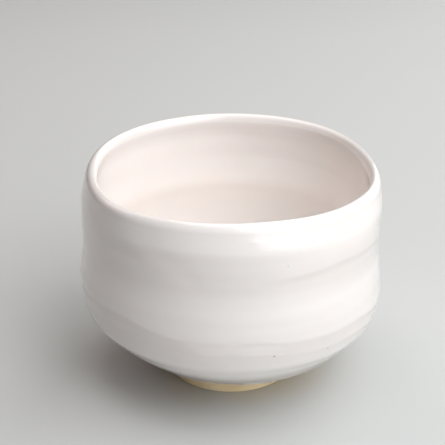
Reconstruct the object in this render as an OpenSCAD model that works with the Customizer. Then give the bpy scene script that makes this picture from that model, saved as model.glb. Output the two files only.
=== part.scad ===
// Hand-thrown tea bowl: a clay body luted to a turned foot ring, with a glaze coat inside and out.
// The origin is the centre of the foot ring, on the table. +Z is up.

/* [Bowl] */
// Height from the table to the mean lip
bowl_h = 85; // [75:1:95]
// Largest mean radius of the outside, glaze included
belly_r = 58.7; // [54:0.1:63]
// Radius of the rounded lip, glaze included
lip_r = 2.2; // [1.8:0.1:2.6]
// Mean radius of the mouth, just inside the lip
mouth_r = 53; // [49:0.1:57]
// Height of the inside floor above the table, glaze included
floor_z = 10.8; // [10:0.1:14]
// Radius of the dished tea pool in the middle of the floor
pool_r = 11; // [9:0.5:14]
// Depth of the tea pool
pool_depth = 0.9; // [0.3:0.1:1.2]

/* [Foot ring] */
// Outside radius of the ring where it meets the body
foot_r = 24.6; // [22:0.1:27]
// Height of the ring
foot_h = 4.2; // [3.5:0.1:5]
// Width of the ring from its outside to its well
foot_w = 6; // [4.5:0.1:7]
// Size of the bevel on both lower edges of the ring
foot_bevel = 0.8; // [0.3:0.1:1.2]
// Height of the underside inside the ring
well_z = 6; // [5.6:0.1:6.6]
// How far the small turned nub hangs down in the middle of the well
nub_drop = 0.6; // [0.1:0.1:0.8]

/* [Glaze] */
// Thickness of both glaze coats
glaze_t = 0.6; // [0.4:0.1:0.8]

/* [Hand-made shape] */
// How oval the mouth is, as a share of its radius
oval = 0.01; // [0:0.002:0.02]
// How square the mouth is, as a share of its radius
square_off = 0.026; // [0:0.001:0.04]
// How three-sided the belly is, as a share of its radius
three_side = 0.014; // [0:0.002:0.02]
// Height of the long tilt of the rim
rim_tilt = 0.7; // [0:0.1:1.5]
// Height of the two-fold wave of the rim
rim_wave = 0.7; // [0:0.1:1.5]
// Height of the three-fold wave of the rim
rim_ripple = 0.5; // [0:0.1:1]
// How far the trimmed lower wall sits to one side of the foot
trim_shift = 2.6; // [0:0.2:3]
// Segments round the bowl
around = 64; // [48:8:72]

/* [Hidden] */

// directions of the ovals and waves, in degrees from +X
oval_dir = 118;
square_dir = 51;
three_dir = 62;
tilt_dir = 20;
wave_dir = 92;
ripple_dir = -20;

// the body stands a little off the centre of its foot, and the trimming tool ran off centre too
body_shift = [0.3, 0.2];
shift_reach = 8;
trim_reach = 7;

// rings of points along the outside, round the lip and along the inside
outer_rings = 16;
lip_rings = 4;
inner_rings = 13;

lip_z = bowl_h - lip_r;
pool_slope = 1.5;
well_r = foot_r - foot_w;
glaze_foot_r = foot_r + glaze_t / 2;
ring_taper = 0.3;
ring_sides = 128;

// outside of the glazed wall, as [share of belly_r, share of bowl_h]:
// the trimmed lower wall, the hip, the belly, the soft waist and the shoulder
wall_shares = [
    [0.485, 0.07], [0.572, 0.1], [0.67, 0.141], [0.775, 0.2], [0.886, 0.27], [0.97, 0.341],
    [0.998, 0.435], [1, 0.54], [0.987, 0.67], [0.995, 0.8], [0.998, 0.906]
];
outer_knots = concat(
    [[glaze_foot_r, foot_h]],
    [for (k = wall_shares) [k[0] * belly_r, k[1] * bowl_h]],
    [[mouth_r + 2 * lip_r, lip_z]]
);

// inside of the glazed wall, as [share of mouth_r, share of the depth]:
// an upright upper wall that turns into a round bottom
hollow_shares = [
    [1.01, 0.905], [1.008, 0.79], [0.995, 0.65], [0.965, 0.545], [0.91, 0.405], [0.845, 0.29],
    [0.745, 0.18], [0.59, 0.092], [0.4, 0.04]
];
inner_knots = concat(
    [[mouth_r, lip_z]],
    [for (k = hollow_shares) [k[0] * mouth_r, floor_z + k[1] * (lip_z - floor_z)]],
    [
        [pool_r + pool_slope, floor_z + pool_depth + 0.3],
        [pool_r - pool_slope, floor_z + 0.3],
        [0, floor_z]
    ]
);

// Slope that keeps a curve through the knots from overshooting.
function calm(a, b) = a * b <= 0 ? 0 : 2 * a * b / (a + b);

function knot_slope(k, i) =
    i == 0 ? k[1] - k[0]
    : i == len(k) - 1 ? k[i] - k[i - 1]
    : [for (c = [0, 1]) calm(k[i][c] - k[i - 1][c], k[i + 1][c] - k[i][c])];

function between(a, b, slope_a, slope_b, u) =
    (2 * pow(u, 3) - 3 * u * u + 1) * a
    + (pow(u, 3) - 2 * u * u + u) * slope_a
    + (3 * u * u - 2 * pow(u, 3)) * b
    + (pow(u, 3) - u * u) * slope_b;

function curve_point(k, s) =
    let (i = min(floor(s), len(k) - 2))
    between(k[i], k[i + 1], knot_slope(k, i), knot_slope(k, i + 1), s - i);

// A smooth curve through the knots, as a list of count points.
function curve(k, count) =
    [for (j = [0:count - 1]) curve_point(k, j * (len(k) - 1) / (count - 1))];

// Points between the two ends of the half circle over the lip.
lip_arc = [
    for (j = [1:lip_rings])
        let (a = 180 * j / (lip_rings + 1))
        [mouth_r + lip_r + lip_r * cos(a), lip_z + lip_r * sin(a)]
];

function direction(path, i) =
    path[min(i + 1, len(path) - 1)] - path[max(i - 1, 0)];

// The path moved to its left by d.
function moved_in(path, d) = [
    for (i = [0:len(path) - 1])
        let (v = direction(path, i), n = [-v[1], v[0]] / norm(v))
        path[i] + d * n
];

// The glazed surface from the foot, up the outside, over the lip and down to the middle of the floor.
skin = concat(curve(outer_knots, outer_rings), lip_arc, curve(inner_knots, inner_rings));
under_skin = moved_in(skin, glaze_t);
skin_end = len(skin) - 1;
lip_end = outer_rings + lip_rings;

// The same path on the clay. It starts at the foot and ends on the axis.
clay_skin = concat(
    [[foot_r, foot_h]],
    [for (i = [1:skin_end - 1]) under_skin[i]],
    [[0, floor_z - glaze_t]]
);

// The turned underside, from the ring's inner edge to the nub on the axis.
underside = [
    [well_r, foot_h],
    [well_r - 0.3, well_z - 0.9],
    [well_r - 1.2, well_z],
    [4, well_z],
    [0, well_z - nub_drop]
];

function reversed(v) = [for (i = [len(v) - 1:-1:0]) v[i]];

function part_of(v, first, last) = [for (i = [first:last]) v[i]];

function smooth_step(u) =
    let (w = max(0, min(1, u)))
    w * w * (3 - 2 * w);

// Share of the off-centre trimming at a height: none at the foot, most a trim_reach above it.
function trim_share(z) =
    let (q = max(0, z - foot_h) / trim_reach)
    pow(q * exp(1 - q), 2);

function shift_share(z) = 1 - exp(-pow(max(0, z - foot_h) / shift_reach, 2));

// How much wider the bowl is in direction a at the height share t.
function widening(t, a) =
    pow(t, 1.5) * (oval * cos(2 * (a - oval_dir)) + square_off * cos(4 * (a - square_dir)))
    + 4 * t * (1 - t) * three_side * cos(3 * (a - three_dir));

function lift(t, a) =
    t * t * (
        rim_tilt * cos(a - tilt_dir)
        + rim_wave * cos(2 * (a - wave_dir))
        + rim_ripple * cos(3 * (a - ripple_dir))
    );

// Where the outline point p = [radius, height] lands in direction a.
function placed(p, a) =
    let (
        t = p[1] / bowl_h,
        r = p[0] * (1 + widening(t, a)),
        off = shift_share(p[1]) * body_shift
            + [trim_shift * trim_share(p[1]) * smooth_step(p[0] / foot_r - 0.4), 0]
    )
    [r * cos(a) + off[0], r * sin(a) + off[1], p[1] + lift(t, a)];

function ring(p) = [for (i = [0:around - 1]) placed(p, 360 * i / around)];

// Triangles between the rings that start at points a and b.
function band(a, b) = [
    for (i = [0:around - 1])
        let (j = (i + 1) % around)
        each [[a + i, b + i, b + j], [a + i, b + j, a + j]]
];

// A closed loop of [radius, height] points, carried round the axis.
module hoop(loop) {
    count = len(loop);
    polyhedron(
        points = [for (p = loop) each ring(p)],
        faces = [for (i = [0:count - 1]) each band(i * around, ((i + 1) % count) * around)]
    );
}

// An open path whose two ends lie on the axis, carried round the axis.
module vessel(path) {
    last = len(path) - 1;
    rings = last - 1;
    start_pole = rings * around;
    end_pole = start_pole + 1;
    end_ring = (rings - 1) * around;
    polyhedron(
        points = concat(
            [for (i = [1:last - 1]) each ring(path[i])],
            [placed(path[0], 0), placed(path[last], 0)]
        ),
        faces = concat(
            [for (i = [0:rings - 2]) each band(i * around, (i + 1) * around)],
            [for (i = [0:around - 1]) [start_pole, i, (i + 1) % around]],
            [for (i = [0:around - 1]) [end_pole, end_ring + (i + 1) % around, end_ring + i]]
        )
    );
}

// Thrown and trimmed stoneware wall and floor, all but the foot ring.
module clay_body() {
    color([0.80, 0.68, 0.50])
        vessel(concat(reversed(clay_skin), underside));
}

// Bare turned ring that the bowl stands on.
module foot_ring() {
    color([0.74, 0.58, 0.38])
        rotate_extrude($fn = ring_sides)
            polygon([
                [well_r + ring_taper + foot_bevel, 0],
                [foot_r - ring_taper - foot_bevel, 0],
                [foot_r - ring_taper, foot_bevel],
                [foot_r, foot_h],
                [well_r, foot_h],
                [well_r + ring_taper, foot_bevel]
            ]);
}

// White glaze on the outside and over the lip.
module outer_glaze() {
    color([0.93, 0.91, 0.89])
        hoop(concat(
            reversed(part_of(skin, 0, lip_end)),
            part_of(clay_skin, 0, lip_end)
        ));
}

// White glaze on the inside wall and floor.
module inner_glaze() {
    color([0.93, 0.89, 0.85])
        vessel(concat(
            reversed(part_of(skin, lip_end, skin_end)),
            part_of(clay_skin, lip_end, skin_end)
        ));
}

clay_body();
foot_ring();
outer_glaze();
inner_glaze();
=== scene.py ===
# A white-glazed tea bowl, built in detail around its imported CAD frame. Metres, in the row frame.
import math

import bpy
import numpy as np
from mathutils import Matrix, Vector


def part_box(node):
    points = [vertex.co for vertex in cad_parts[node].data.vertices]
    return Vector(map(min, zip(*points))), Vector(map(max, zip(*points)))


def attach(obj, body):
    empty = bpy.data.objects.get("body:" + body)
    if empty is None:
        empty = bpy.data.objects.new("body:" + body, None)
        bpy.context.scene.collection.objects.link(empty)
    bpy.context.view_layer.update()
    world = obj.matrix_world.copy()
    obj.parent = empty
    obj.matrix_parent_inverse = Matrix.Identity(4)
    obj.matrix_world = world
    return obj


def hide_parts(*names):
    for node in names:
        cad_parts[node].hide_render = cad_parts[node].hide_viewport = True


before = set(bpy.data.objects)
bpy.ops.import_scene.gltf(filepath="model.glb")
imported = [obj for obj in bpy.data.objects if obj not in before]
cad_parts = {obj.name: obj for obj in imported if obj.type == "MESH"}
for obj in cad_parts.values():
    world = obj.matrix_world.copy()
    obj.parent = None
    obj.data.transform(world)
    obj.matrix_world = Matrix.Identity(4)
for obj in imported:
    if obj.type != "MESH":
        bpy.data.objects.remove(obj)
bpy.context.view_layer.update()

MM = 0.001

# The bowl's driving sizes, as in the CAD model.
foot_low, foot_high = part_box("foot_ring")
FOOT_R = (foot_high.x - foot_low.x) / 2
FOOT_H = foot_high.z
FOOT_W = 6.0 * MM
BOWL_H = 85.0 * MM
BELLY_R = 58.7 * MM
MOUTH_R = 53.0 * MM
DEPTH_Z = 82.8 * MM
FLOOR_Z = 10.8 * MM
POOL_R = 11.0 * MM
POOL_DEPTH = 0.9 * MM
POOL_SLOPE = 1.5 * MM
POOL_RISE = 0.3 * MM
WELL_Z = 6.0 * MM
NUB_DROP = 0.6 * MM
GLAZE_T = 0.6 * MM

# The lip's section is made of two quarter ellipses: their widths and heights.
LIP_OUT_W, LIP_OUT_H = 2.5 * MM, 3.6 * MM
LIP_IN_W, LIP_IN_H = 2.2 * MM, 3.0 * MM
LIP_MIDDLE_R = MOUTH_R + LIP_IN_W
SHOULDER_Z = BOWL_H - LIP_OUT_H
THROAT_Z = BOWL_H - LIP_IN_H

# The bowl's hand-made warp, as in the CAD model. Directions are in degrees from +X.
OVAL, OVAL_DIR = 0.01, 118
SQUARE, SQUARE_DIR = 0.026, 51
THREE, THREE_DIR = 0.014, 62
TILT, TILT_DIR = 0.7 * MM, 20
WAVE, WAVE_DIR = 0.7 * MM, 92
RIPPLE, RIPPLE_DIR = 0.5 * MM, -20
BODY_SHIFT = (0.3 * MM, 0.2 * MM)
SHIFT_REACH = 8.0 * MM
TRIM_SHIFT = 2.6 * MM
TRIM_REACH = 7.0 * MM

# Fineness of the visible meshes. The outer rows are closer together near the foot.
AROUND = 400
OUTER_ROWS, OUTER_BIAS = 180, 1.35
LIP_ROWS = 26
INNER_ROWS = 130
BARE_ROWS, COVERED_ROWS = 60, 26
WELL_ROWS = 90
# Surfaces hidden between glaze and clay only need every eighth row, and every third over the lip.
THIN_ROWS, THIN_LIP_ROWS = 8, 3
# The two glaze coats meet this many rows below the lip.
SEAM_ROWS = 5

# Outlines: the outside as (share of BELLY_R, share of BOWL_H), and the inside as
# (share of MOUTH_R, share of the depth, which runs from FLOOR_Z up to DEPTH_Z).
WALL_SHARES = [
    (0.485, 0.07), (0.572, 0.1), (0.67, 0.141), (0.775, 0.2), (0.886, 0.27), (0.97, 0.341),
    (1.002, 0.45), (0.997, 0.55), (0.985, 0.67), (0.993, 0.78), (0.998, 0.87),
]
HOLLOW_SHARES = [
    (1.009, 0.9), (1.005, 0.79), (0.981, 0.65), (0.958, 0.545), (0.907, 0.405), (0.843, 0.29),
    (0.745, 0.18), (0.59, 0.092), (0.4, 0.04),
]
GLAZE_FOOT_R = FOOT_R + 0.5 * MM
OUTER_KNOTS = np.array(
    [(GLAZE_FOOT_R, FOOT_H - 2.0 * MM), (GLAZE_FOOT_R, FOOT_H)]
    + [(r * BELLY_R, z * BOWL_H) for r, z in WALL_SHARES]
    + [(LIP_MIDDLE_R + LIP_OUT_W, SHOULDER_Z)]
)
INNER_KNOTS = np.array(
    [(MOUTH_R, THROAT_Z)]
    + [(r * MOUTH_R, FLOOR_Z + z * (DEPTH_Z - FLOOR_Z)) for r, z in HOLLOW_SHARES]
    + [
        (POOL_R + POOL_SLOPE, FLOOR_Z + POOL_DEPTH + POOL_RISE),
        (POOL_R - POOL_SLOPE, FLOOR_Z + POOL_RISE),
        (0.0, FLOOR_Z),
    ]
)


def smooth_step(value):
    w = np.clip(value, 0, 1)
    return w * w * (3 - 2 * w)


def hump(value):
    """A bell that is 1 at 0 and fades out beyond 2."""
    return np.exp(-value * value)


def cos_deg(angle):
    return np.cos(np.radians(angle))


def curve(knots, s):
    """Points at the places s, counted in knots, on a smooth curve that doesn't overshoot its knots."""
    step = np.diff(knots, axis=0)
    slope = np.empty_like(knots)
    slope[0], slope[-1] = step[0], step[-1]
    product = step[:-1] * step[1:]
    total = np.where(product > 0, step[:-1] + step[1:], 1)
    slope[1:-1] = np.where(product > 0, 2 * product / total, 0)
    i = np.clip(np.asarray(s, float).astype(int), 0, len(knots) - 2)
    u = (s - i)[..., None]
    return (
        (2 * u**3 - 3 * u**2 + 1) * knots[i]
        + (u**3 - 2 * u**2 + u) * slope[i]
        + (3 * u**2 - 2 * u**3) * knots[i + 1]
        + (u**3 - u**2) * slope[i + 1]
    )


def outward(knots, s):
    """Unit normals of the curve, pointing to the right of its way: away from the clay."""
    reach = 1e-3
    top = len(knots) - 1
    ahead = curve(knots, np.minimum(s + reach, top)) - curve(knots, np.maximum(s - reach, 0))
    normal = np.stack([ahead[..., 1], -ahead[..., 0]], axis=-1)
    return normal / np.linalg.norm(normal, axis=-1, keepdims=True)


def placed(r, z, angle):
    """Where the outline point (r, z) lands in the direction angle, in degrees, on the warped bowl."""
    t = z / BOWL_H
    wider = (
        np.maximum(t, 0) ** 1.5
        * (OVAL * cos_deg(2 * (angle - OVAL_DIR)) + SQUARE * cos_deg(4 * (angle - SQUARE_DIR)))
        + 4 * t * (1 - t) * THREE * cos_deg(3 * (angle - THREE_DIR))
    )
    above = np.maximum(0, z - FOOT_H)
    q = above / TRIM_REACH
    trim = (q * np.exp(1 - q)) ** 2 * smooth_step(r / FOOT_R - 0.4)
    shift = 1 - np.exp(-((above / SHIFT_REACH) ** 2))
    x = r * (1 + wider) * cos_deg(angle) + shift * BODY_SHIFT[0] + trim * TRIM_SHIFT
    y = r * (1 + wider) * np.sin(np.radians(angle)) + shift * BODY_SHIFT[1]
    lift = t * t * (
        TILT * cos_deg(angle - TILT_DIR)
        + WAVE * cos_deg(2 * (angle - WAVE_DIR))
        + RIPPLE * cos_deg(3 * (angle - RIPPLE_DIR))
    )
    return np.stack([x, y, z + lift], axis=-1)


# ---- surface relief: how far the surface stands out from its outline, in metres ----

# The slow unevenness that a potter's hands leave. Each wave has its height in mm, its count round the
# bowl, the rise in mm over which it turns by one radian, and its share of the phase.
HAND_WAVES = [(0.14, 3, 13, 1.0), (0.07, 5, -9, 2.1), (0.02, 8, 6, 3.7)]
OUTER_PHASE, INNER_PHASE = 0.4, 2.2
INNER_CALM = 0.7
# Finger marks: the pitch of their spiral, and their height.
OUTER_RINGS = (6.2 * MM, 0.018 * MM)
INNER_RINGS = (7.5 * MM, 0.02 * MM)


def waves(table, angle):
    """The sum of waves round the bowl, each given as height, count and phase."""
    turn = np.radians(angle)
    return sum(height * np.sin(count * turn + phase) for height, count, phase in table)


def undulation(angle, z, phase):
    turn = np.radians(angle)
    total = 0
    for height, count, rise, share in HAND_WAVES:
        total = total + height * MM * np.sin(count * turn + z / (rise * MM) + share * phase)
    return total


def throwing_rings(angle, z, pitch, height):
    """A shallow spiral left by the fingers, uneven in strength."""
    turn = np.radians(angle)
    place = (z - pitch * turn / (2 * math.pi)) / pitch
    uneven = 0.6 + 0.4 * np.sin(2 * turn + z / (13 * MM))
    return height * uneven * np.sin(2 * math.pi * place + 0.8 * np.sin(3 * turn))


def along_stretch(angle, start, end, heights, fade):
    """For a mark that runs from start to end degrees: its height there, and how much of it is there."""
    share = ((angle - start) % 360) / ((end - start) % 360)
    line = np.interp(np.clip(share, 0, 1), np.linspace(0, 1, len(heights)), heights) * MM
    amount = smooth_step(share / fade) * smooth_step((1 - share) / fade) * (share <= 1)
    return line, amount


def groove(angle, z, start, end, heights, depth, width):
    line, amount = along_stretch(angle, start, end, heights, 0.25)
    return -depth * MM * amount * hump((z - line) / (width * MM))


def ledge(angle, z, start, end, heights, drop, crisp, reach):
    """A roll of clay: its lower side drops off at a line, within crisp, and its top fades over reach."""
    line, amount = along_stretch(angle, start, end, heights, 0.3)
    rise = z - line
    lower = smooth_step(rise / (crisp * MM) + 0.5)
    return drop * MM * amount * lower * hump(np.maximum(rise, 0) / (reach * MM))


# Soft grooves of the outside: start and end in degrees, heights along them, depth and width in mm.
GROOVES = [
    (-80, -24, (60.6, 62.4, 63.6, 63.0), 0.05, 1.4),
    (-126, -98, (79.0, 73.0, 66.0, 59.0), 0.12, 4.5),
    (-150, -120, (69.0, 68.6, 68.0), 0.18, 2.4),
    (20, 95, (60.0, 62.5, 61.0), 0.16, 1.6),
    (100, 165, (71.0, 69.0, 69.5), 0.16, 1.8),
    (150, 205, (52.0, 54.0, 53.0), 0.14, 2.2),
    (60, 130, (48.0, 47.0, 49.0), 0.12, 1.8),
]
# Ledges of the outside: start and end in degrees, heights along them, drop, crispness, reach in mm.
LEDGES = [
    (-84, -12, (62.6, 64.0, 65.9, 65.0, 62.0), 0.22, 2.4, 6.5),
    (12, 112, (59.5, 62.0, 61.5), 0.3, 3.0, 6.0),
    (118, 196, (64.0, 66.0, 64.5), 0.25, 3.0, 6.0),
]
# The potter's hand pressed the shoulder in above a line. Round the bowl, from -180 degrees on:
# direction, the line's height in mm, and how much the shoulder leans in above it.
SHOULDER = [
    (-180, 77.0, 0.02), (-147, 77.0, 0.03), (-135, 76.5, 0.05), (-120, 76.8, 0.14), (-105, 76.2, 0.08),
    (-90, 75.6, 0.06), (-76, 75.2, 0.10), (-62, 74.0, 0.07), (-40, 72.0, 0.05), (0, 73.5, 0.02),
    (60, 75.5, 0.02), (120, 74.5, 0.02), (180, 77.0, 0.02),
]
SHOULDER_BLUR = 1.0 * MM
# Where the trimming tool stopped: direction, and height of the edge in mm.
TRIM_LINE = [
    (-180, 42.5), (-135, 43.0), (-118, 40.3), (-105, 39.1), (-92, 39.4), (-80, 39.8), (-68, 38.6),
    (-55, 38.4), (-40, 39.0), (-20, 36.5), (30, 34.5), (90, 37.0), (140, 41.0), (180, 42.5),
]
TRIM_BLUR = 0.3 * MM
# Each cut of the tool is as deep as its first number says, at its second number below the line.
FIRST_CUT = (0.26 * MM, 2.2 * MM)
SECOND_CUT = (0.55 * MM, 8 * MM)
BROAD_CUT, BROAD_WAVES, BROAD_REACH = 0.7 * MM, [(0.1 * MM, 2, 0.6)], 8 * MM
# In front the second cut starts this far below the first, with a small ridge left between them. The
# two cuts come in from the first direction on and go out towards the second, each over some degrees.
SECOND_TRIM = 5.4 * MM
RIDGE, RIDGE_WIDE = 0.07 * MM, 0.9 * MM
FRONT_START, FRONT_IN = -116, 16
FRONT_END, FRONT_OUT = 0, 15
# A faint facet lower down, all round: its distance below the line, depth, blur and reach.
FACET_BELOW, FACET_WAVES = 15 * MM, [(1.5 * MM, 1, 2)]
FACET, FACET_BLUR, FACET_REACH = 0.06 * MM, 3 * MM, 6 * MM
# The hip is fuller towards one side: how much, at which height and direction, and how far it spreads.
HIP_SWELL, HIP_Z, HIP_TALL = 1.5 * MM, 20.5 * MM, 6.0 * MM
HIP_DIR, HIP_WIDE = -94, 34
# Just above the foot the wall is cut in a little.
WAIST_CUT, WAIST_Z, WAIST_TALL = 1.1 * MM, 9.0 * MM, 4.0 * MM
# Small knobs in the glaze: direction in degrees, then height, half width, half height and rise in mm.
KNOBS = [(-82, 79.0, 1.6, 0.5, 0.1), (-149, 58.0, 0.9, 0.5, 0.12), (-147, 76.5, 1.2, 0.5, 0.1)]
# The outer relief fades out over a stretch below the lip, and over one just above the waist.
OUTER_TOP, OUTER_TOP_FADE = BOWL_H - 0.3 * MM, 4.5 * MM
OUTER_LOW, OUTER_LOW_FADE = 8 * MM, 8 * MM


def signed(angle):
    return (angle + 180) % 360 - 180


def soft_above(value, blur):
    """The value where it is above 0, else 0, with a soft bend between."""
    return blur * np.logaddexp(0, value / blur)


def round_table(table, angle):
    """The columns of the table after its first, at the given direction, on smooth curves."""
    knots = np.array(table, float)
    place = np.interp(signed(angle), knots[:, 0], np.arange(len(knots)))
    return np.moveaxis(curve(knots[:, 1:], place), -1, 0)


def hand_shift(angle, z):
    """How far the wall stands out from its outline: less at the shoulder and waist, more at the hip."""
    height, lean = round_table(SHOULDER, angle)
    swell = HIP_SWELL * hump((z - HIP_Z) / HIP_TALL) * hump(signed(angle - HIP_DIR) / HIP_WIDE)
    waist = WAIST_CUT * hump((z - WAIST_Z) / WAIST_TALL)
    return swell - waist - lean * soft_above(z - height * MM, SHOULDER_BLUR)


def cut(below, depth, reach):
    """A shaving that starts crisply at below = 0, is deepest at reach, and runs out softly."""
    share = soft_above(below, TRIM_BLUR) / reach
    return -depth * share * np.exp(1 - share)


def trimming(angle, z):
    """The flats cut under the trim line: two narrow ones in front, and one broad one elsewhere."""
    below = round_table(TRIM_LINE, angle)[0] * MM - z
    here = signed(angle)
    double = smooth_step((here - FRONT_START) / FRONT_IN) * smooth_step((FRONT_END - here) / FRONT_OUT)
    second = below - SECOND_TRIM
    narrow = cut(below, *FIRST_CUT) + cut(second, *SECOND_CUT) + RIDGE * hump(second / RIDGE_WIDE)
    broad = cut(below, BROAD_CUT + waves(BROAD_WAVES, angle), BROAD_REACH)
    third = below - FACET_BELOW - waves(FACET_WAVES, angle)
    facet = -FACET * smooth_step(third / FACET_BLUR) * hump(np.maximum(third, 0) / FACET_REACH)
    return broad + double * (narrow - broad) + facet


def outer_relief(angle, z):
    total = undulation(angle, z, OUTER_PHASE) + throwing_rings(angle, z, *OUTER_RINGS)
    for mark in GROOVES:
        total = total + groove(angle, z, *mark)
    for mark in LEDGES:
        total = total + ledge(angle, z, *mark)
    total = total + trimming(angle, z)
    for at, height, wide, tall, rise in KNOBS:
        away = signed(angle - at) * math.pi / 180 * BELLY_R / (wide * MM)
        total = total + rise * MM * hump(away) * hump((z - height * MM) / (tall * MM))
    off_lip = smooth_step((OUTER_TOP - z) / OUTER_TOP_FADE)
    off_foot = smooth_step((z - OUTER_LOW) / OUTER_LOW_FADE)
    return total * off_lip * off_foot


# The crease inside: its height, how that wanders, and the roll of clay that stands in there.
CREASE_Z, CREASE_WAVES, CREASE_BLUR = 57.6 * MM, [(0.7 * MM, 1, 0.5), (0.4 * MM, 3, 0)], 0.8 * MM
ROLL, ROLL_ABOVE, ROLL_UNDER = 0.75 * MM, 6 * MM, 7 * MM
# The inner relief fades out in the same way below the lip and above the floor.
INNER_TOP, INNER_TOP_FADE = BOWL_H - 0.5 * MM, 5 * MM
INNER_LOW, INNER_LOW_FADE = FLOOR_Z + 0.5 * MM, 3 * MM


def inner_relief(angle, z):
    rise = z - CREASE_Z - waves(CREASE_WAVES, angle)
    total = undulation(angle, z, INNER_PHASE) * INNER_CALM + throwing_rings(angle, z, *INNER_RINGS)
    # Above the roll the wall leans back, which catches the light.
    above, under = soft_above(rise, CREASE_BLUR), soft_above(-rise, CREASE_BLUR)
    total = total + ROLL * np.exp(-above / ROLL_ABOVE) * hump(under / ROLL_UNDER)
    off_lip = smooth_step((INNER_TOP - z) / INNER_TOP_FADE)
    off_floor = smooth_step((z - INNER_LOW) / INNER_LOW_FADE)
    return total * off_lip * off_floor


# ---- the glazed surface, as grids of points: rows along the outline, columns round the bowl ----

ANGLES = np.arange(AROUND) * 360 / AROUND
# The edge of the outer glaze, in knots of the outline, and the runs where it went lower:
# direction and half width in degrees, and the knot they reach.
EDGE_KNOT = 3.7
EDGE_WAVES = [(0.25, 3, 1.1), (0.12, 8, 0.4), (0.06, 17, 0)]
RUNS = [(-97, 8, 1.5), (-64, 5, 2.6), (38, 10, 2.2), (112, 14, 2.6), (-170, 9, 2.4)]
# The glaze rounds off over EDGE_ROUND at its edge, and just above it is thicker by the share BEAD.
EDGE_ROUND = 1.1 * MM
BEAD, BEAD_AT, BEAD_WIDE = 0.45, 1.5 * MM, 1.3 * MM
# How far the throat of the lip wanders in and out round the mouth.
THROAT_WAVES = [(0.22 * MM, 3, 1), (0.13 * MM, 7, 2.5), (0.06 * MM, 12, 0)]
SWAY_REACH = 14 * MM


def glaze_edge(angle):
    """Where the wavy lower edge of the outer glaze lies, counted in knots of the outline."""
    line = EDGE_KNOT + waves(EDGE_WAVES, angle)
    for at, wide, low in RUNS:
        line = line + (low - line) * np.exp(-((signed(angle - at) / wide) ** 4))
    return line


def outer_grid():
    """Rows of the outer skin and of its underside, from the foot to the end of the lip."""
    count = len(OUTER_KNOTS) - 1
    start = glaze_edge(ANGLES)
    share = np.linspace(0, 1, OUTER_ROWS)[:, None] ** OUTER_BIAS
    s = start + (count - start) * share
    line = curve(OUTER_KNOTS, s)
    normal = outward(OUTER_KNOTS, s)
    steps = np.linalg.norm(np.diff(line, axis=0), axis=-1)
    run = np.concatenate([np.zeros((1, AROUND)), np.cumsum(steps, axis=0)])
    rounding = np.sqrt(1 - (1 - np.clip(run / EDGE_ROUND, 0, 1)) ** 2)
    bead = 1 + BEAD * hump((run - BEAD_AT) / BEAD_WIDE)
    depth = GLAZE_T * rounding * bead
    relief = outer_relief(ANGLES[None, :], line[..., 1])
    line[..., 0] += hand_shift(ANGLES[None, :], line[..., 1])
    top = line + normal * (relief + depth - GLAZE_T)[..., None]
    under = line + normal * (np.minimum(relief, 0) - GLAZE_T)[..., None]
    return top, under


def lip_grid():
    """Rows over the lip, between the last outer row and the first inner row: two quarter ellipses.

    The angle a runs over the lip's section: from 0 outside over 90 on top to 180 inside.
    """
    a = np.linspace(0, 180, LIP_ROWS + 2)[1:-1, None] + np.zeros(AROUND)
    wide = np.where(a < 90, LIP_OUT_W, LIP_IN_W)
    tall = np.where(a < 90, LIP_OUT_H, LIP_IN_H)
    sway = waves(THROAT_WAVES, ANGLES) * smooth_step((a - 40) / 80)
    sine = np.sin(np.radians(a))
    z = BOWL_H - tall + tall * sine
    shift = hand_shift(ANGLES[None, :], z) * smooth_step((150 - a) / 90)
    x = LIP_MIDDLE_R + wide * cos_deg(a) + sway + shift
    normal = np.stack([cos_deg(a) / wide, sine / tall], axis=-1)
    normal = normal / np.linalg.norm(normal, axis=-1, keepdims=True)
    line = np.stack([x, z], axis=-1)
    outside = smooth_step((90 - a) / 60)
    relief = outer_relief(ANGLES[None, :], z) * outside
    top = line + normal * relief[..., None]
    under = line + normal * (np.minimum(relief, 0) - GLAZE_T)[..., None]
    return top, under


def inner_grid():
    """Rows of the inner skin and of its underside, from the lip to just off the middle of the floor."""
    count = len(INNER_KNOTS) - 1
    s = np.linspace(0, count, INNER_ROWS)[:-1, None] + np.zeros(AROUND)
    line = curve(INNER_KNOTS, s)
    normal = outward(INNER_KNOTS, s)
    near_throat = smooth_step((line[..., 1] - THROAT_Z) / SWAY_REACH + 1)
    line[..., 0] += waves(THROAT_WAVES, ANGLES) * near_throat
    relief = inner_relief(ANGLES[None, :], line[..., 1])
    top = line + normal * relief[..., None]
    under = line + normal * (np.minimum(relief, 0) - GLAZE_T)[..., None]
    return top, under


def in_space(grid):
    return placed(grid[..., 0], grid[..., 1], ANGLES[None, :])


# ---- meshes ----


def ring_faces(first, second, around):
    i = np.arange(around)
    j = (i + 1) % around
    return np.stack([first + i, first + j, second + j, second + i], axis=1)


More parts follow.
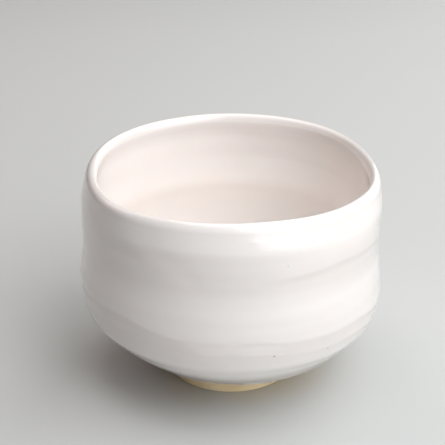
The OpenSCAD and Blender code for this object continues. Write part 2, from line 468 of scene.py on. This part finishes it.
def make_object(name, points, quads, triangles=(), sharp=()):
    """A smooth mesh object. Edges inside one range of points in sharp are creased in its shading."""
    corner_counts = [4] * len(quads) + [3] * len(triangles)
    corners = np.concatenate([np.asarray(f).ravel() for f in (quads, triangles) if len(f)])
    mesh = bpy.data.meshes.new(name)
    mesh.vertices.add(len(points))
    mesh.vertices.foreach_set("co", np.asarray(points, np.float32).ravel())
    mesh.loops.add(len(corners))
    mesh.loops.foreach_set("vertex_index", corners.astype(np.int32))
    mesh.polygons.add(len(corner_counts))
    starts = np.concatenate([[0], np.cumsum(corner_counts)[:-1]])
    mesh.polygons.foreach_set("loop_start", starts.astype(np.int32))
    mesh.update(calc_edges=True)
    mesh.validate()
    mesh.shade_smooth()
    if sharp:
        ends = np.empty(len(mesh.edges) * 2, np.int32)
        mesh.edges.foreach_get("vertices", ends)
        ends = ends.reshape(-1, 2)
        creased = np.zeros(len(ends), bool)
        for first, last in sharp:
            creased |= np.all((ends >= first) & (ends < last), axis=1)
        layer = mesh.attributes.new("sharp_edge", "BOOLEAN", "EDGE")
        layer.data.foreach_set("value", creased)
    obj = bpy.data.objects.new(name, mesh)
    bpy.context.scene.collection.objects.link(obj)
    return obj


def hoop(name, rings, sharp_rings=()):
    """Closed rings of points joined into a ring-shaped solid: the last joins the first."""
    count, around = rings.shape[:2]
    quads = [ring_faces(k * around, ((k + 1) % count) * around, around) for k in range(count)]
    sharp = [(k * around, (k + 1) * around) for k in sharp_rings]
    return make_object(name, rings.reshape(-1, 3), np.concatenate(quads), (), sharp)


def vessel(name, rings, start, end, sharp_rings=()):
    """Closed rings of points joined into a solid that two middle points, start and end, close off."""
    count, around = rings.shape[:2]
    quads = [ring_faces(k * around, (k + 1) * around, around) for k in range(count - 1)]
    i = np.arange(around)
    j = (i + 1) % around
    start_id = count * around
    last = (count - 1) * around
    caps = np.concatenate([
        np.stack([np.full(around, start_id), j, i], axis=1),
        np.stack([np.full(around, start_id + 1), last + i, last + j], axis=1),
    ])
    points = np.concatenate([rings.reshape(-1, 3), [start, end]])
    sharp = [(k * around, (k + 1) * around) for k in sharp_rings]
    return make_object(name, points, np.concatenate(quads), caps, sharp)


def build_glaze():
    """The two glaze coats. They meet a little below the lip, where the wall is nearly straight."""
    outer_top, outer_under = outer_grid()
    lip_top, lip_under = lip_grid()
    inner_top, inner_under = inner_grid()
    first_inner = OUTER_ROWS + LIP_ROWS
    split = first_inner + SEAM_ROWS
    skin = in_space(np.concatenate([outer_top, lip_top, inner_top]))
    under = in_space(np.concatenate([outer_under, lip_under, inner_under]))
    picked = np.concatenate([
        np.arange(THIN_ROWS, OUTER_ROWS, THIN_ROWS),
        np.arange(OUTER_ROWS, split, THIN_LIP_ROWS),
        [split],
    ])
    outer = hoop("outer_glaze_coat", np.concatenate([skin[: split + 1], under[picked][::-1]]), [split])
    low = under[split::THIN_ROWS][::-1]
    inner = vessel(
        "inner_glaze_coat",
        np.concatenate([low, skin[split:]]),
        placed(0.0, FLOOR_Z - GLAZE_T, 0.0),
        placed(0.0, FLOOR_Z, 0.0),
        [len(low)],
    )
    return outer, inner


# Turning lines of the bare clay: their depth, and their pitch on the wall, in the well and on the foot.
TURNING = 0.05 * MM
WALL_PITCH, WELL_PITCH, FOOT_PITCH = 1.9 * MM, 1.5 * MM, 0.95 * MM


def clay_wall():
    """Rows of the clay's outer wall, a glaze's thickness in. Turning lines show where it is bare."""
    count = len(OUTER_KNOTS) - 1
    bare = np.linspace(1.3, EDGE_KNOT + 0.9, BARE_ROWS)
    covered = np.linspace(EDGE_KNOT + 1, count, COVERED_ROWS)
    s = np.concatenate([bare, covered])[:, None] + np.zeros(AROUND)
    line = curve(OUTER_KNOTS, s)
    relief = np.minimum(outer_relief(ANGLES[None, :], line[..., 1]), 0)
    turn = np.radians(ANGLES)[None, :]
    lines = np.sin(2 * math.pi * line[..., 0] / WALL_PITCH + turn + 0.5 * np.sin(3 * turn))
    relief = relief + TURNING * (lines - 1) * smooth_step(EDGE_KNOT + 1 - s)
    top = line + outward(OUTER_KNOTS, s) * (relief - GLAZE_T)[..., None]
    top[..., 0] += hand_shift(ANGLES[None, :], line[..., 1])
    return top


def build_clay_body():
    """The clay under the glaze, bare above the foot, with a turned underside inside the foot ring."""
    above_foot = clay_wall()
    lip_under = lip_grid()[1][::THIN_LIP_ROWS]
    inner_under = inner_grid()[1][::THIN_ROWS]
    corner = np.empty((2, AROUND, 2))
    corner[0] = (FOOT_R, FOOT_H)
    corner[1] = (FOOT_R + 0.4 * MM, FOOT_H + 0.7 * MM)
    wall = np.concatenate([corner, above_foot, lip_under, inner_under])
    well_r = FOOT_R - FOOT_W
    knots = np.array([
        (well_r, FOOT_H), (well_r - 0.2 * MM, WELL_Z - 0.9 * MM), (well_r - 1.3 * MM, WELL_Z),
        (4 * MM, WELL_Z), (1.6 * MM, WELL_Z - 0.2 * MM), (0.0, WELL_Z - NUB_DROP),
    ])
    s = np.linspace(0, len(knots) - 1, WELL_ROWS)[:-1, None] + np.zeros(AROUND)
    under = curve(knots, s)
    turn = np.radians(ANGLES)[None, :]
    spiral = np.sin(2 * math.pi * under[..., 0] / WELL_PITCH - turn)
    off_wall = smooth_step((well_r - 1 * MM - under[..., 0]) / (1 * MM))
    off_nub = smooth_step(under[..., 0] / (3 * MM))
    under[..., 1] += TURNING * spiral * off_wall * off_nub
    rings = in_space(np.concatenate([under[::-1], wall]))
    return vessel(
        "clay_body_turned",
        rings,
        placed(0.0, WELL_Z - NUB_DROP, 0.0),
        placed(0.0, FLOOR_Z - GLAZE_T - 0.05 * MM, 0.0),
    )


def rounded(corners, reaches, steps):
    """A closed outline whose corners are rounded by smooth bends that start at the given reaches."""
    points = []
    count = len(corners)
    for i in range(count):
        here = np.array(corners[i])
        before = np.array(corners[i - 1]) - here
        after = np.array(corners[(i + 1) % count]) - here
        before = before / np.linalg.norm(before)
        after = after / np.linalg.norm(after)
        for k in range(steps + 1):
            u = k / steps
            points.append(here + before * reaches[i] * (1 - u) ** 2 + after * reaches[i] * u**2)
    return np.array(points)


def resampled(outline, spacing):
    """The closed outline as points about spacing apart."""
    closed = np.concatenate([outline, outline[:1]])
    run = np.concatenate([[0], np.cumsum(np.linalg.norm(np.diff(closed, axis=0), axis=1))])
    count = int(run[-1] / spacing)
    places = np.arange(count) * run[-1] / count
    return np.stack([np.interp(places, run, closed[:, c]) for c in (0, 1)], axis=1)


# The foot ring narrows by TAPER towards the table. Its rounding starts FOOT_EDGE from its lower
# corners, and JOIN_EDGE from those at the bowl.
TAPER, FOOT_EDGE, JOIN_EDGE = 0.3 * MM, 1.1 * MM, 0.15 * MM
FOOT_SPACING = 0.16 * MM
FOOT_WAVES = [(0.04 * MM, 7, 2)]
# How far the foot's face is worn away, and how that changes round the ring.
WEAR, WEAR_WAVES, WEAR_REACH = 0.025 * MM, [(0.025 * MM, 5, 0.7)], 3.2 * MM


def build_foot_ring():
    """The bare clay ring: rounded edges, fine turning lines, and a foot face a little worn."""
    well_r = FOOT_R - FOOT_W
    corners = [(FOOT_R - TAPER, 0.0), (FOOT_R, FOOT_H), (well_r, FOOT_H), (well_r + TAPER, 0.0)]
    edges = [FOOT_EDGE, JOIN_EDGE, JOIN_EDGE, FOOT_EDGE]
    outline = resampled(rounded(corners, edges, 10), FOOT_SPACING)
    r = outline[:, 0][:, None] + np.zeros(AROUND)
    z = outline[:, 1][:, None] + np.zeros(AROUND)
    turn = np.radians(ANGLES)[None, :]
    side = smooth_step(z / (0.9 * MM)) * smooth_step((FOOT_H - z) / (0.4 * MM))
    middle_r = FOOT_R - FOOT_W / 2
    facing = np.where(r > middle_r, 1, -1)
    lines = TURNING * np.sin(2 * math.pi * z / FOOT_PITCH + 0.6 * np.sin(3 * turn) + turn)
    lines = lines + waves(FOOT_WAVES, ANGLES)
    r = r + facing * side * (lines - TURNING)
    near_table = smooth_step((0.6 * MM - z) / (0.6 * MM))
    worn = near_table * (WEAR + waves(WEAR_WAVES, ANGLES))
    z = np.maximum(z + worn * hump((r - middle_r) / WEAR_REACH), 0)
    points = np.stack([r * np.cos(turn), r * np.sin(turn), z], axis=-1)
    return hoop("foot_ring_turned", points)


# ---- materials ----


def new_material(name):
    material = bpy.data.materials.new(name)
    material.use_nodes = True
    tree = material.node_tree
    tree.nodes.clear()
    output = tree.nodes.new("ShaderNodeOutputMaterial")
    shader = tree.nodes.new("ShaderNodeBsdfPrincipled")
    tree.links.new(shader.outputs["BSDF"], output.inputs["Surface"])
    return material, tree, shader


def add(tree, kind, inputs=None, **settings):
    """A node with the given settings. inputs maps socket names to values or to other nodes' outputs."""
    node = tree.nodes.new(kind)
    for key, value in settings.items():
        setattr(node, key, value)
    for key, value in (inputs or {}).items():
        if isinstance(value, bpy.types.NodeSocket):
            tree.links.new(value, node.inputs[key])
        else:
            node.inputs[key].default_value = value
    return node


def noise(tree, place, scale, detail=3.0, roughness=0.5):
    return add(
        tree, "ShaderNodeTexNoise",
        {"Vector": place, "Scale": scale, "Detail": detail, "Roughness": roughness},
    ).outputs["Fac"]


def span(tree, value, low, high, out_low=0.0, out_high=1.0):
    """value from low..high carried to out_low..out_high, and held there beyond."""
    return add(
        tree, "ShaderNodeMapRange",
        {"Value": value, "From Min": low, "From Max": high, "To Min": out_low, "To Max": out_high},
    ).outputs["Result"]


def blend(tree, factor, first, second):
    node = add(tree, "ShaderNodeMix", data_type="RGBA")
    sockets = {"Factor": node.inputs[0], "A": node.inputs[6], "B": node.inputs[7]}
    for key, value in (("Factor", factor), ("A", first), ("B", second)):
        if isinstance(value, bpy.types.NodeSocket):
            tree.links.new(value, sockets[key])
        else:
            sockets[key].default_value = value
    return node.outputs[2]


def math_node(tree, operation, first, second=0.0):
    node = add(tree, "ShaderNodeMath", operation=operation)
    for i, value in enumerate((first, second)):
        if isinstance(value, bpy.types.NodeSocket):
            tree.links.new(value, node.inputs[i])
        else:
            node.inputs[i].default_value = value
    return node.outputs[0]


def bump(tree, height, strength, distance, more=None):
    inputs = {"Strength": strength, "Distance": distance, "Height": height, **(more or {})}
    return add(tree, "ShaderNodeBump", inputs).outputs["Normal"]


def rgb(red, green, blue):
    return (red, green, blue, 1.0)


# Colours in the glazes: flecks, thin glaze on top of the lip, painted shade on the faces that lean out
# over the foot, and iron.
FLECK, FLECK_SHARE = rgb(0.86, 0.80, 0.75), 0.08
LIP_GLAZE, LIP_SHARE, LIP_LOW, LIP_HIGH = rgb(0.90, 0.85, 0.78), 0.2, 83.6 * MM, 86.2 * MM
PAINTED_SHADE_COLOUR, PAINTED_SHADE_SHARE = rgb(0.70, 0.635, 0.61), 0.4
IRON = rgb(0.10, 0.07, 0.06)
# How much of the deep colour comes in, and how far its edge wanders up and down.
DEEP_SHARE, DEEP_DRIFT = 0.7, 2.5 * MM
# The glaze's gloss and its milky depth.
GLAZE_SETTINGS = {
    "Coat Weight": 1.0, "Coat Roughness": 0.1, "Coat IOR": 1.5, "IOR": 1.45,
    "Subsurface Weight": 0.2, "Subsurface Radius": (1.0, 0.7, 0.55), "Subsurface Scale": 1.5 * MM,
}
# Colours in the clays: coarse grains and dark grit.
GRAIN_COLOUR, GRAIN_SHARE = rgb(0.62, 0.46, 0.28), 0.5
GRIT_COLOUR, GRIT_SHARE = rgb(0.20, 0.12, 0.07), 0.65
# How much of the flashed colour comes in, and how far its edge wanders up and down.
FLASH_SHARE, FLASH_DRIFT = 0.75, 0.8 * MM


def glaze_material(name, warm, cool, deep, low_edge, high_edge, specks=()):
    """Milky white glaze: warm and cool clouds, a tint that deepens from high_edge down to low_edge, and
    painted shade where faces lean over.

    Each iron speck is (x, y, z, radius, strength).
    """
    material, tree, shader = new_material(name)
    place = add(tree, "ShaderNodeTexCoord").outputs["Object"]
    height = add(tree, "ShaderNodeSeparateXYZ", {"Vector": place}).outputs["Z"]
    clouds = span(tree, noise(tree, place, 22, 3, 0.5), 0.25, 0.75)
    colour = blend(tree, clouds, warm, cool)
    fine = span(tree, noise(tree, place, 120, 2, 0.5), 0.2, 0.8, 0, FLECK_SHARE)
    colour = blend(tree, fine, colour, FLECK)
    drift = span(tree, noise(tree, place, 60, 2), 0.3, 0.7, -DEEP_DRIFT, DEEP_DRIFT)
    tint = span(tree, math_node(tree, "ADD", height, drift), high_edge, low_edge, 0, DEEP_SHARE)
    colour = blend(tree, tint, colour, deep)
    thin = span(tree, height, LIP_LOW, LIP_HIGH, 0, LIP_SHARE)
    colour = blend(tree, thin, colour, LIP_GLAZE)
    facing = add(tree, "ShaderNodeNewGeometry").outputs["Normal"]
    upward = add(tree, "ShaderNodeSeparateXYZ", {"Vector": facing}).outputs["Z"]
    # Painted shade: the glaze is darkened where a face starts to lean over, and less again where it
    # leans over a lot.
    lean = span(tree, upward, -0.13, 0.1, PAINTED_SHADE_SHARE, 0.0)
    lean = math_node(tree, "MULTIPLY", lean, span(tree, upward, -0.5, -0.2, 0.05, 1.0))
    colour = blend(tree, lean, colour, PAINTED_SHADE_COLOUR)
    for x, y, z, radius, strength in specks:
        away = add(tree, "ShaderNodeVectorMath", {0: place, 1: (x, y, z)}, operation="DISTANCE")
        dot = span(tree, away.outputs["Value"], 1.2 * radius, 0.5 * radius, 0.0, strength)
        colour = blend(tree, dot, colour, IRON)
    tree.links.new(colour, shader.inputs["Base Color"])
    satin = span(tree, noise(tree, place, 70, 2), 0.3, 0.7, 0.31, 0.4)
    tree.links.new(satin, shader.inputs["Roughness"])
    for key, value in GLAZE_SETTINGS.items():
        shader.inputs[key].default_value = value
    ripple = bump(tree, noise(tree, place, 75, 1, 0.3), 0.5, 0.15 * MM)
    tree.links.new(ripple, shader.inputs["Normal"])
    tree.links.new(ripple, shader.inputs["Coat Normal"])
    return material


def clay_material(name, light, dark, flash, flash_low, flash_high):
    """Bare sandy stoneware with grit, flashed orange towards the glaze, from flash_low up."""
    material, tree, shader = new_material(name)
    place = add(tree, "ShaderNodeTexCoord").outputs["Object"]
    height = add(tree, "ShaderNodeSeparateXYZ", {"Vector": place}).outputs["Z"]
    patches = span(tree, noise(tree, place, 70, 4, 0.6), 0.32, 0.68)
    colour = blend(tree, patches, light, dark)
    drift = span(tree, noise(tree, place, 120, 3), 0.3, 0.7, -FLASH_DRIFT, FLASH_DRIFT)
    near_glaze = span(tree, math_node(tree, "ADD", height, drift), flash_low, flash_high, 0, FLASH_SHARE)
    colour = blend(tree, near_glaze, colour, flash)
    grain = noise(tree, place, 2600, 3, 0.7)
    colour = blend(tree, span(tree, grain, 0.55, 0.75, 0.0, GRAIN_SHARE), colour, GRAIN_COLOUR)
    cells = add(tree, "ShaderNodeTexVoronoi", {"Vector": place, "Scale": 420.0})
    chosen = add(tree, "ShaderNodeSeparateColor", {"Color": cells.outputs["Color"]}).outputs["Red"]
    size = span(tree, chosen, 0.75, 1.0, 0.0, 0.16)
    dot = math_node(tree, "LESS_THAN", cells.outputs["Distance"], size)
    dot = math_node(tree, "MULTIPLY", dot, GRIT_SHARE)
    colour = blend(tree, dot, colour, GRIT_COLOUR)
    tree.links.new(colour, shader.inputs["Base Color"])
    tree.links.new(span(tree, grain, 0.3, 0.7, 0.72, 0.92), shader.inputs["Roughness"])
    sandy = bump(tree, grain, 0.7, 0.12 * MM)
    lumps = bump(tree, noise(tree, place, 480, 3, 0.6), 0.5, 0.25 * MM, {"Normal": sandy})
    tree.links.new(lumps, shader.inputs["Normal"])
    return material


# The floor's two greys, darker near and lighter far: painted light.
FLOOR_NEAR, FLOOR_FAR = rgb(0.53, 0.546, 0.541), rgb(0.64, 0.655, 0.65)


def floor_material():
    """Pale grey, with painted light that makes it slightly lighter towards the back."""
    material, tree, shader = new_material("pale_paper")
    place = add(tree, "ShaderNodeTexCoord").outputs["Object"]
    clouds = span(tree, noise(tree, place, 3, 2), 0.3, 0.7, -0.05, 0.05)
    depth = add(tree, "ShaderNodeSeparateXYZ", {"Vector": place}).outputs["Y"]
    far = span(tree, math_node(tree, "ADD", depth, clouds), -0.25, 0.45)
    colour = blend(tree, far, FLOOR_NEAR, FLOOR_FAR)
    tree.links.new(colour, shader.inputs["Base Color"])
    shader.inputs["Roughness"].default_value = 0.75
    return material


# ---- stage, light and camera ----


def build_floor():
    """A round pale floor that reaches far past the view."""
    around, radii = 96, (0.4, 1.2, 3.0, 6.0)
    angles = np.radians(np.arange(around) * 360 / around)
    points = [(0.0, 0.0, 0.0)]
    for radius in radii:
        points += [(radius * math.cos(a), radius * math.sin(a), 0.0) for a in angles]
    strips = [
        ring_faces(1 + (k + 1) * around, 1 + k * around, around) for k in range(len(radii) - 1)
    ]
    i = np.arange(around)
    caps = np.stack([np.zeros(around, int), 1 + i, 1 + (i + 1) % around], axis=1)
    floor = make_object("floor", np.array(points), np.concatenate(strips), caps)
    floor.data.materials.append(floor_material())


LIGHT_DISTANCE = 1.0


def aimed_light(name, azimuth, elevation, width, height, power, colour):
    """A softbox LIGHT_DISTANCE away from the middle of the bowl, and turned to it."""
    a, e = math.radians(azimuth), math.radians(elevation)
    middle = Vector((0.0, 0.0, BOWL_H / 2))
    way = Vector((math.cos(e) * math.cos(a), math.cos(e) * math.sin(a), math.sin(e)))
    data = bpy.data.lights.new(name, "AREA")
    data.shape = "RECTANGLE"
    data.size, data.size_y = width, height
    data.energy = power
    data.color = colour
    light = bpy.data.objects.new(name, data)
    bpy.context.scene.collection.objects.link(light)
    light.location = middle + way * LIGHT_DISTANCE
    light.rotation_euler = (-way).to_track_quat("-Z", "Y").to_euler()


WHITE = (1.0, 1.0, 1.0)
ROOM_COLOUR, ROOM_GLOW = rgb(1.0, 0.90, 0.82), 0.02
# Softboxes: name, azimuth from +X and elevation in degrees, width and height in metres, watts, colour.
LIGHTS = [
    ("key", -33, 52, 1.0, 0.7, 6.25, WHITE),
    ("front", -60, 28, 0.7, 0.7, 3.55, WHITE),
    ("low_front", -50, 5, 0.9, 0.3, 1.75, WHITE),
    ("overhead", 0, 90, 0.7, 0.7, 3.4, WHITE),
    ("back_right", 45, 50, 0.7, 0.7, 1.9, WHITE),
    ("side_right", 50, 18, 0.7, 0.7, 2.5, WHITE),
    ("back_left", 135, 50, 0.7, 0.7, 1.5, (1.0, 0.87, 0.80)),
    ("left_glow", 165, 25, 0.7, 0.7, 0.35, (1.0, 0.5, 0.35)),
]


def build_lights():
    for light in LIGHTS:
        aimed_light(*light)
    world = bpy.data.worlds.new("studio")
    bpy.context.scene.world = world
    world.use_nodes = True
    background = world.node_tree.nodes["Background"]
    background.inputs["Color"].default_value = ROOM_COLOUR
    background.inputs["Strength"].default_value = ROOM_GLOW


# The camera stands in front of the bowl and above it, and looks down into it.
CAMERA_PLACE = (0.0004, -0.5387, 0.3031)
CAMERA_AIM = (-0.0033, 0.0090, 0.0574)
CAMERA_LENS, SENSOR_WIDTH = 123.8, 36.0
CLIP_START, CLIP_END = 0.01, 50.0


def build_camera():
    data = bpy.data.cameras.new("camera")
    data.lens = CAMERA_LENS
    data.sensor_width = SENSOR_WIDTH
    data.clip_start = CLIP_START
    data.clip_end = CLIP_END
    camera = bpy.data.objects.new("camera", data)
    bpy.context.scene.collection.objects.link(camera)
    camera.location = CAMERA_PLACE
    aim = Vector(CAMERA_AIM) - Vector(CAMERA_PLACE)
    camera.rotation_euler = aim.to_track_quat("-Z", "Y").to_euler()
    bpy.context.scene.camera = camera


# Each glaze's warm and cool clouds and its deep colour, each clay's light, dark and flashed colour, and
# the two heights between which the last colour comes in.
OUTSIDE_LOOK = (
    rgb(0.905, 0.845, 0.82), rgb(0.905, 0.862, 0.848), rgb(0.85, 0.805, 0.875), 9 * MM, 17 * MM,
)
# The inside glaze is painted lighter than the outside glaze, as painted light inside the bowl. Its deep
# colour is painted shade on the wall below the crease, down to the floor of the bowl.
INSIDE_LOOK = (
    rgb(0.936, 0.875, 0.843), rgb(0.936, 0.89, 0.868), rgb(0.885, 0.822, 0.79), 53 * MM, 61 * MM,
)
CLAY_LOOK = (
    rgb(0.84, 0.70, 0.48), rgb(0.74, 0.58, 0.37), rgb(0.80, 0.56, 0.36), 7 * MM, 12 * MM,
)
FOOT_LOOK = (
    rgb(0.985, 0.835, 0.565), rgb(0.90, 0.72, 0.44), rgb(0.87, 0.63, 0.38), 2 * MM, 5.5 * MM,
)
# Iron specks in the outer glaze: direction in degrees, height and radius in mm, strength.
SPECKS = [
    (-75, 33.9, 0.42, 0.6), (-53, 32.1, 0.4, 0.45), (-70, 69.2, 0.35, 0.2), (20, 45.0, 0.35, 0.6),
    (74, 28.0, 0.4, 0.7), (131, 58.0, 0.3, 0.5), (-158, 36.0, 0.35, 0.6),
]


def speck_places():
    """Where on the outer skin the iron specks sit."""
    skin = outer_grid()[0]
    places = []
    for angle, height, radius, strength in SPECKS:
        column = int(round(angle % 360 * AROUND / 360)) % AROUND
        row = np.abs(skin[:, column, 1] - height * MM).argmin()
        spot = placed(skin[row, column, 0], skin[row, column, 1], ANGLES[column])
        places.append((*spot, radius * MM, strength))
    return places


outer_coat, inner_coat = build_glaze()
clay = build_clay_body()
foot = build_foot_ring()
outer_coat.data.materials.append(glaze_material("milk_glaze_outside", *OUTSIDE_LOOK, speck_places()))
inner_coat.data.materials.append(glaze_material("milk_glaze_inside", *INSIDE_LOOK))
clay.data.materials.append(clay_material("turned_clay", *CLAY_LOOK))
foot.data.materials.append(clay_material("turned_foot_clay", *FOOT_LOOK))

PIECES = [
    (outer_coat, "outer_glaze", "white_glaze"),
    (inner_coat, "inner_glaze", "inside_glaze"),
    (clay, "clay_body", "clay"),
    (foot, "foot_ring", "foot_clay"),
]
for piece, node_name, slot_name in PIECES:
    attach(piece, "root")
    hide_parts(node_name)

build_floor()
build_lights()
build_camera()
bpy.context.scene.view_settings.view_transform = "Standard"
